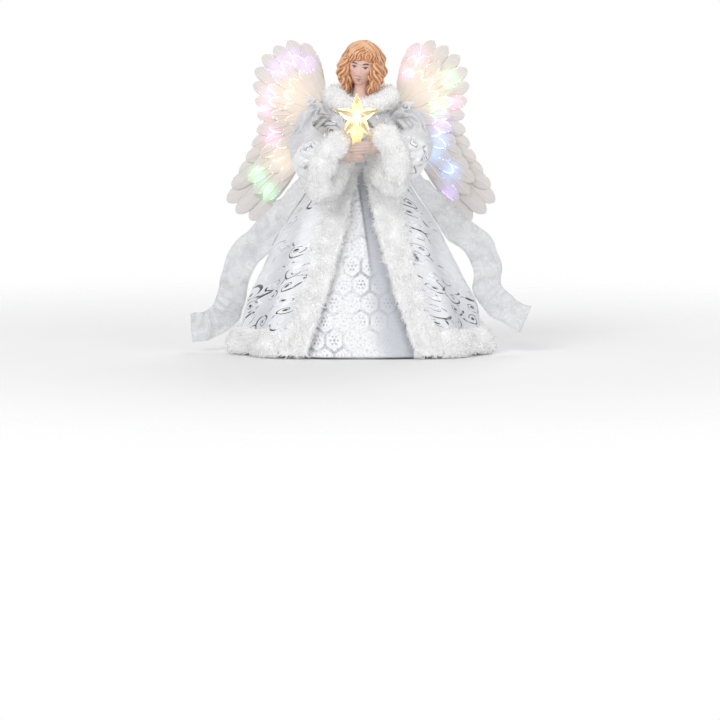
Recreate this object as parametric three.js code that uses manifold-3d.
// Angel tree topper: a robed figure with fibre-lit feather wings and a lit star, standing on a stiff cone.
// Millimetres, +Z up. The figure faces -Y, its left side is +X, and the cone's rim rests on Z = 0.
import * as THREE from 'three';
import { mergeVertices } from 'three/addons/utils/BufferGeometryUtils.js';
import Module from 'manifold-3d';

const wasm = await Module();
wasm.setup();

// Clearances
const SEAT_GAP = 0.35;
const RUNNING_GAP = 0.3;

// Cone former, which carries everything
const FORMER_HEIGHT = 172;
const FORMER_HALF_WIDTH = 108;
const FORMER_HALF_DEPTH = 63;
const DECK_HALF_WIDTH = 28;
const DECK_HALF_DEPTH = 22;
const FORMER_WALL = 1.6;
const FORMER_COLUMNS = 36;
const RIM_WIDTH = 4.5;
const RIM_HEIGHT = 5;
const DECK_HOLE = 9;

// Bulkhead and tree socket inside the cone
const BULKHEAD_HEIGHT = 96;
const BULKHEAD_THICKNESS = 2.5;
const CABLE_HOLE = 4;
const SOCKET_MOUTH_RADIUS = 15;
const SOCKET_TOP_RADIUS = 11;
const SOCKET_WALL = 1.8;
const SOCKET_LENGTH = 82;
const SOCKET_FLANGE = 5;

// Battery box, door and switch
const CELL_RADIUS = 5.2;
const CELL_LENGTH = 44;
const CELL_COUNT = 3;
const CELL_GAP = 0.8;
const CELL_NUB = 1.2;
const BOX_WALL = 1.8;
const DOOR_THICKNESS = 2;
const DOOR_PIN_RADIUS = 1;
const DOOR_BARREL_RADIUS = 2.1;
const DOOR_BARREL_LENGTH = 24;
const LUG_WIDTH = 4;
const LUG_HEIGHT = 8;
const PIN_PROUD = 1;
const CONTACT_THICKNESS = 0.6;
const KNOB_LENGTH = 7;
const KNOB_HEIGHT = 5;
const KNOB_DEPTH = 2.6;
const KNOB_TRAVEL = 4;
const KNOB_RISE = 9;
const STEM_LENGTH = 3;
const STEM_HEIGHT = 3;

// Light engine and leads
const ENGINE_RADIUS = 8;
const ENGINE_LENGTH = 30;
const ENGINE_FOOT_LENGTH = 5;
const ENGINE_FOOT_STEP = 2;
const ENGINE_BEVEL = 1;
const BUNDLE_RADIUS = 2;
const BUNDLE_X = 3.4;
const BUNDLE_Y = 2.5;
const LEAD_RADIUS = 0.7;
const LEAD_X = 4.2;
const LEAD_Y = 2.8;
const LEAD_BEND = 14;
const LEAD_SAG = 4.5;
const BOARD_WIDTH = 36;
const BOARD_DEPTH = 22;
const BOARD_THICKNESS = 1.6;
const SOLDER_SINK = 0.5;
const CHIP_LENGTH = 8;
const CHIP_WIDTH = 10;
const CHIP_HEIGHT = 1.6;
const CHIP_INSET = 4;
const CAPACITOR_RADIUS = 3;
const CAPACITOR_HEIGHT = 7;
const CAPACITOR_INSET = 6;
const CAPACITOR_Y = 2;

// Torso and arms
const WAIST_HALF_WIDTH = 23.5;
const WAIST_HALF_DEPTH = 17.5;
const SHOULDER_HALF_WIDTH = 29;
const SHOULDER_HALF_DEPTH = 17;
const CHEST_HALF_WIDTH = 26.8;
const CHEST_HALF_DEPTH = 18;
const SHOULDER_RISE = 57;
const SHOULDER_SLOPE = 9.5;
const TORSO_FOOT_INSET = 2;
const TORSO_COLUMNS = 24;
const TORSO_BORE = 8;
const BORE_RISE = 3;
const WINDOW_HALF_WIDTH = 7.5;
const WINDOW_HEIGHT = 11;
const WINDOW_DROP = 2.5;
const ARM_RADIUS = 2.6;
const ARM_WALL = 0.9;
const ARM_STEPS = 11;
const ARM_SIDES = 8;
const WRIST_REACH = 7;
const WRIST_RISE = { left: 9, right: 6 };
const BODICE_CLOTH = 1.5;
const ARMHOLE_EASE = 4.6;

// Head
const HEAD_LENGTH = 66.5;
const HEAD_TILT = 8;
const HEAD_TURN = 8;
const SKULL_HALF_WIDTH = 12.5;
const SKULL_HALF_DEPTH = 13.5;
const SKULL_HALF_HEIGHT = 16.5;
const FACE_FORWARD = 2.5;
const CHIN_RADIUS = 6;
const CHIN_DROP = 1;
const CHIN_FORWARD = 5;
const NOSE_HALF_WIDTH = 1.5;
const NOSE_HALF_DEPTH = 2.2;
const NOSE_HALF_HEIGHT = 3.2;
const NOSE_SINK = 0.6;
const HAIR_HALF_WIDTH = 25;
const HAIR_RISE = 6;
const CURL_LENGTH = 41;
const CURL_STEP = 3;
const CURL_RADIUS = 5.4;
const CURL_RISE = 10;
const CURL_SWING = 1.4;
const FRINGE_HALF_WIDTH = 6.5;
const FRINGE_HALF_HEIGHT = 4.5;
const FRINGE_RISE = 11.5;
const NECK_RADIUS = 6.8;
const NECK_FLARE = 3;
const NECK_RISE = 9;
const PEG_RADIUS = 4.5;
const PEG_LENGTH = 5;

// Star, lamp and hands
const STAR_SHIFT = 4;
const STAR_REACH = 73;
const STAR_RADIUS = 24;
const STAR_NOTCH_RADIUS = 10;
const STAR_HALF_THICKNESS = 8;
const STAR_EDGE = 1.2;
const LAMP_RADIUS = 4;
const LAMP_LENGTH = 22;
const HOLDER_RADIUS = 4.4;
const HOLDER_FLARE = 6;
const HOLDER_CONE = 3;
const HOLDER_BEVEL = 1;
const HOLDER_FLARE_LENGTH = 11;
const HOLDER_GRIP_LENGTH = 19;
const HOLDER_FOOT_DROP = 35;
const FINGER_RADIUS = 1.4;
const FINGER_PITCH = 2.3;
const GRIP_LEVEL = { right: 4.9, left: 14.6 };
const PALM_RADIUS = 4.4;
const WRIST_RADIUS = 3.6;

// Skirts
const DRESS_GAP = 1;
const DRESS_CLOTH = 1.2;
const DRESS_FOLD = 3.4;
const DRESS_FOLDS = 9;
const DRESS_RISE = 14;
const DRESS_HEM = 1.4;
const ROBE_HEM_HALF_WIDTH = 120;
const ROBE_HEM_HALF_DEPTH = 73;
const ROBE_WAIST_HALF_WIDTH = 35;
const ROBE_WAIST_HALF_DEPTH = 27;
const ROBE_WAIST_RISE = 16;
const ROBE_RISE = 36;
const ROBE_HEM = 9;
const ROBE_CLOTH = 1.2;
const ROBE_FOLD = 3.2;
const ROBE_FOLDS = 9;
const OPENING_TOP_ANGLE = 16;
const OPENING_HEM_ANGLE = 30;

// Fur
const TRIM_WIDTH = 24;
const TRIM_THICKNESS = 8;
const TRIM_GAP = 1.1;
const TRIM_INSET = 8;
const TRIM_HANG = 5;
const TRIM_TOP_DROP = 4;
const HEM_TRIM_HEIGHT = 24;
const HEM_TRIM_FOOT = 2.4;
const CUFF_HALF_HEIGHT = 25;
const CUFF_HALF_WIDTH = 16;
const CUFF_RADIUS = 10;
const CUFF_X = { left: 29.5, right: 32.5 };
const CUFF_REACH = 62;
const CUFF_DROP = { left: 37, right: 42.5 };
const CUFF_TURN = 37;
const CUFF_LEAN = { left: 12, right: 22 };
const CUFF_WAVE = 0.04;
const COLLAR_HALF_WIDTH = 26;
const COLLAR_HALF_DEPTH = 22;
const COLLAR_THICKNESS = 20;
const COLLAR_HEIGHT = 20;
const COLLAR_SINK = 1;
const COLLAR_DIP = 6.5;

// Sleeves
const SLEEVE_CLOTH = 1.4;
const SLEEVE_START_RADIUS = 7.4;
const SLEEVE_SINK = 5;
const SLEEVE_PUFF = 17;
const SLEEVE_DROP = 24;
const SLEEVE_RIPPLE = 0.9;
const SLEEVE_FOLDS = 5;
const SLEEVE_ROOT_OUT = 5;
const SLEEVE_ROOT_DROP = 2;
const UPPER_ARM_OUT = 19;
const UPPER_ARM_FORWARD = 7;
const UPPER_ARM_DROP = 6;
const ELBOW_OUT = 22;
const ELBOW_FORWARD = 30;
const ELBOW_SHARE = 0.6;
const SLEEVE_MOUTH_LENGTH = 5;
const SLEEVE_STEPS = 8;
const SLEEVE_SIDES = 20;

// Ribbons
const RIBBON_WIDTH = 27;
const RIBBON_THICKNESS = 1;
const RIBBON_BOW = 1.2;
const RIBBON_DROP = 6;
const RIBBON_BACK = 8;
const RIBBON_STEPS = 18;

// Wings
const HINGE_X = 22;
const BRACKET_REACH = 19;
const BRACKET_PLATE = 6;
const BRACKET_HALF_WIDTH = 13;
const BRACKET_EASE = 1;
const HINGE_DROP = 6;
const HINGE_PIN_RADIUS = 1.5;
const KNUCKLE_RADIUS = 4.6;
const KNUCKLE_LENGTH = 17;
const LUG_THICKNESS = 4;
const WING_SWEEP = 10;
const WING_PAD_THICKNESS = 2.4;
const PAD_X = 20;
const PAD_Z = 3;
const PAD_HALF_WIDTH = 9;
const PAD_HALF_HEIGHT = 22;
const SPAR_HALF_HEIGHT = 5;
const FEATHER_THICKNESS = 1;
const FEATHER_STEP = 0.6;
const LONG_FEATHER_COUNT = 15;
const LONG_FEATHER_WIDTH = 16;
const COVERT_COUNT = 10;
const COVERT_WIDTH = 15;
const COVERT_SHARE = 0.62;
const STRAND_COUNT = 8;
const STRAND_RADIUS = 0.7;
const FERRULE_RADIUS = 3;
const FERRULE_OUT = 4;
const FERRULE_RISE = 2;
const STRAND_ARCH = 2;

const UP = new THREE.Vector3(0, 0, 1);
const vec = (x, y, z) => new THREE.Vector3(x, y, z);
const mix = THREE.MathUtils.lerp;
const radians = THREE.MathUtils.degToRad;
const smooth = THREE.MathUtils.smoothstep;

// Closed meshes from grids of points

// One closed geometry from points and triangles, turned inside out if its faces point inward.
function closedGeometry(points, triangles) {
  let volume = 0;
  for (const [a, b, c] of triangles) {
    volume += points[a].dot(points[b].clone().cross(points[c]));
  }
  const faces = volume < 0 ? triangles.map(([a, b, c]) => [a, c, b]) : triangles;
  const geometry = new THREE.BufferGeometry();
  const numbers = points.flatMap((p) => [p.x, p.y, p.z]);
  geometry.setAttribute('position', new THREE.Float32BufferAttribute(numbers, 3));
  geometry.setIndex(faces.flat());
  geometry.computeVertexNormals();
  return geometry;
}

// Two triangles for each cell of a grid whose points are numbered by at(row, column).
function cells(rows, columns, at) {
  const triangles = [];
  for (let i = 0; i < rows; i += 1) {
    for (let j = 0; j < columns; j += 1) {
      triangles.push([at(i, j), at(i, j + 1), at(i + 1, j + 1)]);
      triangles.push([at(i, j), at(i + 1, j + 1), at(i + 1, j)]);
    }
  }
  return triangles;
}

// A solid skinned over rings of equal count, with both ends closed by fans.
function loft(rings) {
  const count = rings[0].length;
  const points = rings.flat();
  const triangles = cells(rings.length - 1, count, (i, j) => i * count + (j % count));
  const last = (rings.length - 1) * count;
  const middle = (ring) => ring.reduce((sum, p) => sum.add(p), vec(0, 0, 0)).divideScalar(count);
  points.push(middle(rings[0]), middle(rings.at(-1)));
  for (let j = 0; j < count; j += 1) {
    const k = (j + 1) % count;
    triangles.push([points.length - 2, k, j], [points.length - 1, last + j, last + k]);
  }
  return closedGeometry(points, triangles);
}

// A solid whose rings close on themselves both ways, such as a fur ring or a turned tube.
function ringLoft(rings) {
  const count = rings[0].length;
  const turns = rings.length;
  const triangles = cells(turns, count, (i, j) => (i % turns) * count + (j % count));
  return closedGeometry(rings.flat(), triangles);
}

// A thick sheet between an outer and an inner grid of points, closed along its four edges.
function sheet(outer, inner) {
  const rows = outer.length - 1;
  const columns = outer[0].length - 1;
  const side = (rows + 1) * (columns + 1);
  const at = (i, j) => i * (columns + 1) + j;
  const triangles = cells(rows, columns, at);
  for (const [a, b, c] of cells(rows, columns, at)) {
    triangles.push([side + a, side + c, side + b]);
  }
  const rim = [];
  for (let j = 0; j < columns; j += 1) rim.push(at(0, j));
  for (let i = 0; i < rows; i += 1) rim.push(at(i, columns));
  for (let j = columns; j > 0; j -= 1) rim.push(at(rows, j));
  for (let i = rows; i > 0; i -= 1) rim.push(at(i, 0));
  rim.forEach((a, k) => {
    const b = rim[(k + 1) % rim.length];
    triangles.push([a, side + a, side + b], [a, side + b, b]);
  });
  return closedGeometry([...outer.flat(), ...inner.flat()], triangles);
}

function ovalRing(a, b, z, columns) {
  const ring = [];
  for (let j = 0; j < columns; j += 1) {
    const turn = (2 * Math.PI * j) / columns;
    ring.push(vec(a * Math.cos(turn), b * Math.sin(turn), z));
  }
  return ring;
}

// An oval body round the Z axis: each entry of its closed profile is half width, half depth and height.
function ovalTurn(profile, columns) {
  return ringLoft(profile.map(([a, b, z]) => ovalRing(a, b, z, columns)));
}

// Rings of a tube along a curve: radius gives [across, upright] at each share of its length.
function tubeRings(curve, steps, sides, radius, ripple = () => 0) {
  const rings = [];
  for (let i = 0; i <= steps; i += 1) {
    const share = i / steps;
    const centre = curve.getPointAt(share);
    const along = curve.getTangentAt(share);
    const guide = Math.abs(along.z) > 0.95 ? vec(1, 0, 0) : UP;
    const across = guide.clone().cross(along).normalize();
    const upright = along.clone().cross(across);
    const [a, b] = radius(share);
    const ring = [];
    for (let j = 0; j < sides; j += 1) {
      const turn = (2 * Math.PI * j) / sides;
      const out = 1 + ripple(share, turn);
      const p = centre.clone().addScaledVector(across, a * out * Math.cos(turn));
      ring.push(p.addScaledVector(upright, b * out * Math.sin(turn)));
    }
    rings.push(ring);
  }
  return rings;
}

// A round rod along a curve, with a constant or a changing radius.
function rod(curve, steps, sides, radius) {
  const at = typeof radius === 'number' ? () => [radius, radius] : (share) => [radius(share), radius(share)];
  return loft(tubeRings(curve, steps, sides, at));
}

const spline = (points) => new THREE.CatmullRomCurve3(points, false, 'centripetal');

// A path of straight lengths, so that a lead's rings meet the same stations as the tube it runs in.
function pathThrough(points) {
  const last = points.length - 1;
  const at = (i) => points[Math.min(last, Math.max(0, i))];
  return {
    steps: last,
    getPointAt: (share) => at(Math.round(share * last)),
    getTangentAt: (share) => {
      const i = Math.round(share * last);
      return at(i + 1).clone().sub(at(i - 1)).normalize();
    },
  };
}

// Booleans

function solid(geometry) {
  const bare = geometry.clone();
  for (const name of Object.keys(bare.attributes)) {
    if (name !== 'position') bare.deleteAttribute(name);
  }
  const merged = mergeVertices(bare, 1e-4);
  const vertProperties = new Float32Array(merged.attributes.position.array);
  const triVerts = new Uint32Array(merged.index.array);
  return new wasm.Manifold(new wasm.Mesh({ numProp: 3, vertProperties, triVerts }));
}

// The body's surface, with slivers finer than this taken out.
const SLIVER = 0.08;
const CAST_SLIVER = 0.25;

function geometryOf(body, sliver = SLIVER) {
  const { vertProperties, triVerts } = body.asOriginal().simplify(sliver).getMesh();
  const geometry = new THREE.BufferGeometry();
  geometry.setAttribute('position', new THREE.Float32BufferAttribute(vertProperties, 3));
  geometry.setIndex([...triVerts]);
  geometry.computeVertexNormals();
  return geometry;
}

const join = (geometries) => geometryOf(geometries.map(solid).reduce((a, b) => a.add(b)));

function cut(geometry, cutters, sliver = SLIVER) {
  return geometryOf(cutters.map(solid).reduce((a, b) => a.subtract(b), solid(geometry)), sliver);
}

// A casting: the pieces joined, with the spaces that they close off filled.
function cast(geometries) {
  const shells = geometries.map(solid).reduce((a, b) => a.add(b)).decompose();
  shells.sort((a, b) => b.volume() - a.volume());
  return geometryOf(shells[0], CAST_SLIVER);
}

// Simple solids placed by their corners or ends

function block(low, high) {
  const size = high.clone().sub(low);
  const middle = low.clone().add(high).multiplyScalar(0.5);
  return new THREE.BoxGeometry(size.x, size.y, size.z).translate(middle.x, middle.y, middle.z);
}

function disc(radius, low, high, x, y, sides = 24) {
  const geometry = new THREE.CylinderGeometry(radius, radius, high - low, sides);
  return geometry.rotateX(Math.PI / 2).translate(x, y, (low + high) / 2);
}

function crossBar(radius, left, right, y, z, sides = 16) {
  const geometry = new THREE.CylinderGeometry(radius, radius, right - left, sides);
  return geometry.rotateZ(Math.PI / 2).translate((left + right) / 2, y, z);
}

function egg(rx, ry, rz, centre, wide = 12, high = 8) {
  const geometry = new THREE.SphereGeometry(1, wide, high).rotateX(Math.PI / 2);
  return geometry.scale(rx, ry, rz).translate(centre.x, centre.y, centre.z);
}

// Finishes

function finish(color, roughness, metalness = 0, opacity = 1) {
  return { color, roughness, metalness, opacity, transparent: opacity < 1 };
}

const RESIN_SKIN = finish(0xd9b1a4, 0.55);
const RESIN_HEAD = finish(0xd79c66, 0.6);
const WHITE_FUR = finish(0xf3f2f0, 0.95);
const BROCADE = finish(0xd3d7dd, 0.45, 0.25);
const LATTICE_CLOTH = finish(0xdfe2e7, 0.5, 0.2);
const SHEER = finish(0xdcdfe3, 0.5, 0.1, 0.7);
const PEARL_FILM = finish(0xe6ded8, 0.35, 0.05, 0.85);
const CLEAR_ACRYLIC = finish(0xfff4d6, 0.05, 0, 0.45);
const AMBER = finish(0xe8b84a, 0.25);
const WARM_LAMP = finish(0xffe29a, 0.2);
const WHITE_PLASTIC = finish(0xe9e8e4, 0.5);
const GREY_PLASTIC = finish(0xb8bbbf, 0.5);
const BLACK_PLASTIC = finish(0x2b2c2e, 0.5);
const STEEL = finish(0xa9adb2, 0.3, 0.9);
const GREEN_BOARD = finish(0x2f6b45, 0.5);
const CLEAR_FIBRE = finish(0xeef2ff, 0.15, 0, 0.8);
const CELL_WRAP = finish(0x4a5568, 0.4, 0.3);

const topper = new THREE.Group();

function add(name, geometry, look, parent = topper) {
  const part = new THREE.Mesh(geometry, new THREE.MeshStandardMaterial(look));
  part.name = name;
  parent.add(part);
}

// Heights and places that several pieces share
const SHOULDER = FORMER_HEIGHT + SHOULDER_RISE;
const TORSO_FOOT = FORMER_HEIGHT + SEAT_GAP;
const TORSO_TOP = SHOULDER + SHOULDER_SLOPE;
const HINGE_Y = SHOULDER_HALF_DEPTH + BRACKET_REACH;
const PLATE_BACK = SHOULDER_HALF_DEPTH + BRACKET_PLATE;
const HINGE_HEIGHT = SHOULDER - HINGE_DROP;
const WINDOW_MIDDLE = HINGE_HEIGHT - WINDOW_DROP;
const WINDOW_LOW = WINDOW_MIDDLE - WINDOW_HEIGHT / 2;
const DRESS_TOP = FORMER_HEIGHT + DRESS_RISE;
const ROBE_WAIST = FORMER_HEIGHT + ROBE_WAIST_RISE;
const ROBE_TOP = FORMER_HEIGHT + ROBE_RISE;
const STAR_X = -STAR_SHIFT;
const STAR_Y = -STAR_REACH;
const HOLDER_FOOT = SHOULDER - HOLDER_FOOT_DROP;
const HOLDER_TOP = HOLDER_FOOT + HOLDER_GRIP_LENGTH + HOLDER_FLARE_LENGTH;
const STAR_CENTRE = HOLDER_TOP + SEAT_GAP + STAR_NOTCH_RADIUS;

// The cone's outer half width and half depth at a height. The same slope goes on above its deck.
function formerHalf(z) {
  const share = z / FORMER_HEIGHT;
  const a = mix(FORMER_HALF_WIDTH, DECK_HALF_WIDTH, share);
  return [a, mix(FORMER_HALF_DEPTH, DECK_HALF_DEPTH, share)];
}

function formerRow(z, out) {
  const [a, b] = formerHalf(z);
  return [a + out, b + out, z];
}

// A solid turned about the Z axis from a profile of radius and height pairs that starts and ends on the axis.
function turned(profile, sides, x = 0, y = 0) {
  const outline = profile.map(([r, z]) => new THREE.Vector2(r, z));
  return new THREE.LatheGeometry(outline, sides).rotateX(Math.PI / 2).translate(x, y, 0);
}

// Cone former: a thin oval cone with a flat rim to stand on and a deck with a cable hole on top

add('cone_former', ovalTurn([
  formerRow(0, 0),
  formerRow(FORMER_HEIGHT, 0),
  [DECK_HOLE, DECK_HOLE, FORMER_HEIGHT],
  [DECK_HOLE, DECK_HOLE, FORMER_HEIGHT - FORMER_WALL],
  formerRow(FORMER_HEIGHT - FORMER_WALL, -FORMER_WALL),
  formerRow(RIM_HEIGHT, -FORMER_WALL),
  formerRow(0, -RIM_WIDTH),
], FORMER_COLUMNS), WHITE_PLASTIC);

const BULKHEAD_TOP = BULKHEAD_HEIGHT + BULKHEAD_THICKNESS;
const BULKHEAD_INSET = -FORMER_WALL - SEAT_GAP;
add('bulkhead', ovalTurn([
  formerRow(BULKHEAD_HEIGHT, BULKHEAD_INSET),
  formerRow(BULKHEAD_TOP, BULKHEAD_INSET),
  [CABLE_HOLE, CABLE_HOLE, BULKHEAD_TOP],
  [CABLE_HOLE, CABLE_HOLE, BULKHEAD_HEIGHT],
], FORMER_COLUMNS), GREY_PLASTIC);

// Tree socket: a tapered cup that the tree's tip goes into, hung by its flange under the bulkhead

const HUNG_TOP = BULKHEAD_HEIGHT - SEAT_GAP;
const SOCKET_FLANGE_RADIUS = SOCKET_TOP_RADIUS + SOCKET_WALL + SOCKET_FLANGE;
const SOCKET_MOUTH = HUNG_TOP - SOCKET_LENGTH;
add('tree_socket', turned([
  [0, HUNG_TOP - SOCKET_WALL],
  [SOCKET_TOP_RADIUS, HUNG_TOP - SOCKET_WALL],
  [SOCKET_MOUTH_RADIUS, SOCKET_MOUTH],
  [SOCKET_MOUTH_RADIUS + SOCKET_WALL, SOCKET_MOUTH],
  [SOCKET_TOP_RADIUS + SOCKET_WALL, HUNG_TOP - SOCKET_WALL],
  [SOCKET_FLANGE_RADIUS, HUNG_TOP - SOCKET_WALL],
  [SOCKET_FLANGE_RADIUS, HUNG_TOP],
  [0, HUNG_TOP],
], 24), GREY_PLASTIC);

// Battery box: opens downward behind the socket, with a hinged door and a slide switch on its back

const BOX_INNER_WIDTH = CELL_COUNT * 2 * CELL_RADIUS + (CELL_COUNT + 1) * CELL_GAP;
const BOX_INNER_DEPTH = 2 * (CELL_RADIUS + CELL_GAP);
const CONTACT_ROOM = CONTACT_THICKNESS + 2 * SEAT_GAP;
const BOX_HALF_WIDTH = BOX_INNER_WIDTH / 2 + BOX_WALL;
const BOX_FRONT = Math.max(SOCKET_MOUTH_RADIUS + SOCKET_WALL, SOCKET_FLANGE_RADIUS) + SEAT_GAP;
const BOX_BACK = BOX_FRONT + BOX_INNER_DEPTH + 2 * BOX_WALL;
const BOX_CEILING = HUNG_TOP - BOX_WALL;
const BOX_MOUTH = BOX_CEILING - CELL_LENGTH - 2 * CONTACT_ROOM;
const CELL_Y = (BOX_FRONT + BOX_BACK) / 2;
const DOOR_TOP = BOX_MOUTH - RUNNING_GAP;
const DOOR_FOOT = DOOR_TOP - DOOR_THICKNESS;
const DOOR_AXIS_Y = BOX_BACK + DOOR_BARREL_RADIUS + RUNNING_GAP;
const DOOR_AXIS_Z = DOOR_TOP - DOOR_THICKNESS / 2;
const BARREL_END = DOOR_BARREL_LENGTH / 2;
const LUG_START = BARREL_END + RUNNING_GAP;
const LUG_END = LUG_START + LUG_WIDTH;
const KNOB_HEIGHT_AT = BOX_MOUTH + KNOB_RISE;
const SLOT_HALF_LENGTH = (KNOB_TRAVEL + STEM_LENGTH) / 2 + RUNNING_GAP;
const SLOT_HALF_HEIGHT = STEM_HEIGHT / 2 + RUNNING_GAP;

function doorPinHole(reach) {
  return crossBar(DOOR_PIN_RADIUS + RUNNING_GAP, -reach, reach, DOOR_AXIS_Y, DOOR_AXIS_Z);
}

function batteryBox() {
  const shell = block(vec(-BOX_HALF_WIDTH, BOX_FRONT, BOX_MOUTH), vec(BOX_HALF_WIDTH, BOX_BACK, HUNG_TOP));
  const lugs = [-1, 1].flatMap((side) => {
    const from = Math.min(side * LUG_START, side * LUG_END);
    const to = from + LUG_WIDTH;
    const eye = crossBar(DOOR_BARREL_RADIUS, from, to, DOOR_AXIS_Y, DOOR_AXIS_Z);
    const neckLow = vec(from, BOX_BACK + RUNNING_GAP, DOOR_AXIS_Z);
    const neck = block(neckLow, vec(to, DOOR_AXIS_Y + DOOR_BARREL_RADIUS, BOX_MOUTH + LUG_HEIGHT));
    const rootLow = vec(from, BOX_BACK - BOX_WALL / 2, BOX_MOUTH + RUNNING_GAP);
    const root = block(rootLow, vec(to, DOOR_AXIS_Y, BOX_MOUTH + LUG_HEIGHT));
    return [eye, neck, root];
  });
  const inside = BOX_INNER_WIDTH / 2;
  const hollowTop = vec(inside, BOX_BACK - BOX_WALL, BOX_CEILING);
  const hollow = block(vec(-inside, BOX_FRONT + BOX_WALL, BOX_MOUTH - BOX_WALL), hollowTop);
  const pinHole = doorPinHole(2 * LUG_END);
  const slotLow = vec(-SLOT_HALF_LENGTH, BOX_BACK - 2 * BOX_WALL, KNOB_HEIGHT_AT - SLOT_HALF_HEIGHT);
  const slotHigh = vec(SLOT_HALF_LENGTH, BOX_BACK + BOX_WALL, KNOB_HEIGHT_AT + SLOT_HALF_HEIGHT);
  return cut(join([shell, ...lugs]), [hollow, pinHole, block(slotLow, slotHigh)]);
}
add('battery_box', batteryBox(), BLACK_PLASTIC);

const CELL_FOOT = BOX_MOUTH + CONTACT_ROOM;
const CELL_PITCH = 2 * CELL_RADIUS + CELL_GAP;
for (let i = 0; i < CELL_COUNT; i += 1) {
  const x = (i - (CELL_COUNT - 1) / 2) * CELL_PITCH;
  const top = CELL_FOOT + CELL_LENGTH;
  add(`battery_cell_${i + 1}`, turned([
    [0, CELL_FOOT],
    [CELL_RADIUS, CELL_FOOT],
    [CELL_RADIUS, top - CELL_NUB],
    [CELL_RADIUS / 3, top - CELL_NUB],
    [CELL_RADIUS / 3, top],
    [0, top],
  ], 12, x, CELL_Y), CELL_WRAP);
}

function contact(foot) {
  const half = BOX_INNER_WIDTH / 2 - CELL_GAP;
  const low = vec(-half, CELL_Y - CELL_RADIUS / 2, foot);
  return block(low, vec(half, CELL_Y + CELL_RADIUS / 2, foot + CONTACT_THICKNESS));
}
add('top_contact', contact(BOX_CEILING - SEAT_GAP - CONTACT_THICKNESS), STEEL);
const pinEnd = LUG_END + PIN_PROUD;
add('door_pin', crossBar(DOOR_PIN_RADIUS, -pinEnd, pinEnd, DOOR_AXIS_Y, DOOR_AXIS_Z, 12), STEEL);

function batteryDoor() {
  const plateBack = BOX_BACK - RUNNING_GAP;
  const plate = block(vec(-BOX_HALF_WIDTH, BOX_FRONT, DOOR_FOOT), vec(BOX_HALF_WIDTH, plateBack, DOOR_TOP));
  const web = block(vec(-BARREL_END, BOX_BACK - BOX_WALL, DOOR_FOOT), vec(BARREL_END, DOOR_AXIS_Y, DOOR_TOP));
  const barrel = crossBar(DOOR_BARREL_RADIUS, -BARREL_END, BARREL_END, DOOR_AXIS_Y, DOOR_AXIS_Z);
  const bore = doorPinHole(2 * BARREL_END);
  return cut(join([plate, web, barrel]), [bore]);
}
add('battery_door', batteryDoor(), BLACK_PLASTIC);
add('door_contact', contact(DOOR_TOP + SEAT_GAP), STEEL);

function switchKnob() {
  const x = -KNOB_TRAVEL / 2;
  const padFoot = BOX_BACK + RUNNING_GAP;
  const padLow = vec(x - KNOB_LENGTH / 2, padFoot, KNOB_HEIGHT_AT - KNOB_HEIGHT / 2);
  const padHigh = vec(x + KNOB_LENGTH / 2, padFoot + KNOB_DEPTH, KNOB_HEIGHT_AT + KNOB_HEIGHT / 2);
  const stemLow = vec(x - STEM_LENGTH / 2, BOX_BACK - BOX_WALL / 2, KNOB_HEIGHT_AT - STEM_HEIGHT / 2);
  const stemHigh = vec(x + STEM_LENGTH / 2, BOX_BACK + KNOB_DEPTH, KNOB_HEIGHT_AT + STEM_HEIGHT / 2);
  return join([block(padLow, padHigh), block(stemLow, stemHigh)]);
}
add('switch_knob', switchKnob(), WHITE_PLASTIC);

// Circuit board, light engine, fibre bundles and leads

const BOARD_FOOT = BULKHEAD_TOP + SEAT_GAP;
const BOARD_TOP = BOARD_FOOT + BOARD_THICKNESS;
const ENGINE_TOP = FORMER_HEIGHT - FORMER_WALL - SEAT_GAP;
const ENGINE_FOOT = ENGINE_TOP - ENGINE_LENGTH;

function circuitBoard() {
  const half = BOARD_WIDTH / 2;
  const board = block(vec(-half, -BOARD_DEPTH / 2, BOARD_FOOT), vec(half, BOARD_DEPTH / 2, BOARD_TOP));
  const chipX = -half + CHIP_INSET;
  const seat = BOARD_TOP - SOLDER_SINK;
  const chipHigh = vec(chipX + CHIP_LENGTH, CHIP_WIDTH / 2, BOARD_TOP + CHIP_HEIGHT);
  const chip = block(vec(chipX, -CHIP_WIDTH / 2, seat), chipHigh);
  const capacitorTop = BOARD_TOP + CAPACITOR_HEIGHT;
  const capacitor = disc(CAPACITOR_RADIUS, seat, capacitorTop, half - CAPACITOR_INSET, CAPACITOR_Y, 14);
  return join([board, chip, capacitor]);
}
add('circuit_board', circuitBoard(), GREEN_BOARD);

const ENGINE_STEP_HEIGHT = ENGINE_FOOT + ENGINE_FOOT_LENGTH;
add('light_engine', turned([
  [0, ENGINE_FOOT],
  [ENGINE_RADIUS - ENGINE_FOOT_STEP, ENGINE_FOOT],
  [ENGINE_RADIUS - ENGINE_FOOT_STEP, ENGINE_STEP_HEIGHT],
  [ENGINE_RADIUS, ENGINE_STEP_HEIGHT + ENGINE_BEVEL],
  [ENGINE_RADIUS, ENGINE_TOP - ENGINE_BEVEL],
  [ENGINE_RADIUS - ENGINE_BEVEL, ENGINE_TOP],
  [0, ENGINE_TOP],
], 22), BLACK_PLASTIC);

const powerRoute = new THREE.LineCurve3(vec(0, 0, BOARD_TOP + SEAT_GAP), vec(0, 0, ENGINE_FOOT - SEAT_GAP));
add('power_lead', rod(powerRoute, 1, 8, LEAD_RADIUS), BLACK_PLASTIC);

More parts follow.
